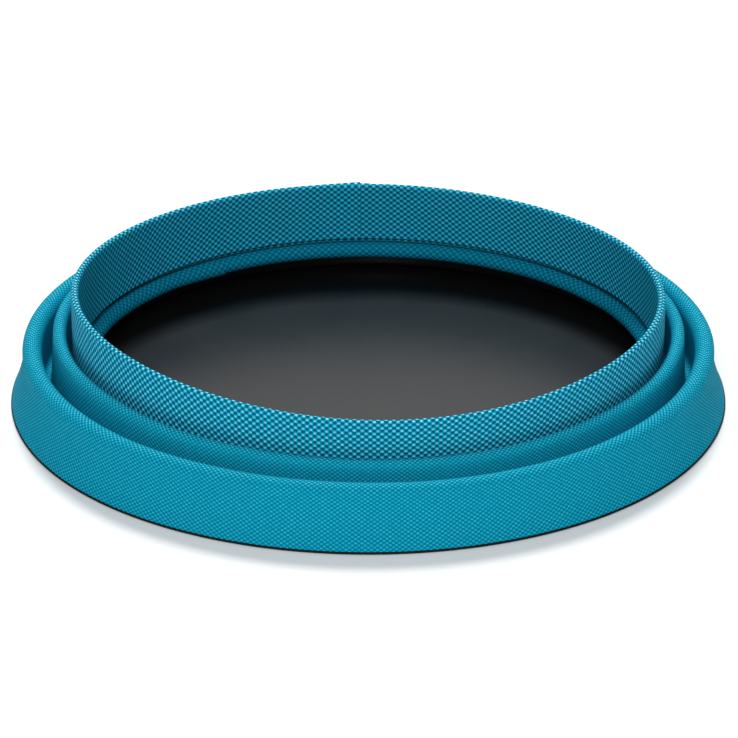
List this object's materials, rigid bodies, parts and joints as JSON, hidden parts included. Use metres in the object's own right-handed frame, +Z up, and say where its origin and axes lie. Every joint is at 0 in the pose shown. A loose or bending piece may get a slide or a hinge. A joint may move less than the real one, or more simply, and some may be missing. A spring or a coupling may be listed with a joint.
{
  "type": "collapsible bowl",
  "caption": "Round collapsible fabric bowl folded flat, with a wide base, telescoping wall tiers joined by soft folds, a turned rim cuff and a lined floor.",
  "frame": {"origin": "centre of the underside of the base, where the bowl rests", "axes": "+Z up through the mouth, along the bowl's axis; +Y towards the rim's lap seam"},
  "size_m": [0.1998, 0.1998, 0.0316],
  "materials": {
    "wall_nylon": "fine plain-weave coated nylon, satin, teal",
    "rim_nylon": "coarse ballistic-weave nylon, satin, teal",
    "binding_tape": "folded grosgrain binding tape, teal",
    "thread": "bonded polyester thread, teal",
    "base_fabric": "coated black nylon",
    "liner_film": "satin black laminated lining",
    "welt_cord": "black corded welt",
    "wall_foam": "closed-cell foam sheet",
    "stiffener_board": "plain polyethylene sheet"
  },
  "bodies": {
    "base": {"bottom_panel": "base_fabric", "base_board": "stiffener_board", "floor_liner": "liner_film", "base_welt": "welt_cord", "outer_wall_shell": "wall_nylon", "outer_wall_foam": "wall_foam", "outer_wall_liner": "liner_film", "lower_fold_shell": "wall_nylon", "lower_fold_liner": "liner_film"},
    "middle": {"middle_wall_shell": "wall_nylon", "middle_wall_foam": "wall_foam", "middle_wall_liner": "liner_film", "upper_fold_shell": "wall_nylon", "upper_fold_liner": "liner_film"},
    "rim": {"rim_band": "rim_nylon", "rim_board": "stiffener_board", "rim_wall_liner": "liner_film", "rim_seam_flap": "rim_nylon", "rim_binding": "binding_tape", "rim_stitching": "thread"}
  },
  "joints": [
    {"name": "middle_lift", "type": "slide", "parent": "base", "child": "middle", "axis": [0, 0, 1], "range_m": [0, 0.028], "deforming": ["lower_fold_shell", "lower_fold_liner"]},
    {"name": "rim_lift", "type": "slide", "parent": "middle", "child": "rim", "axis": [0, 0, 1], "range_m": [0, 0.035], "deforming": ["upper_fold_shell", "upper_fold_liner"]}
  ]
}
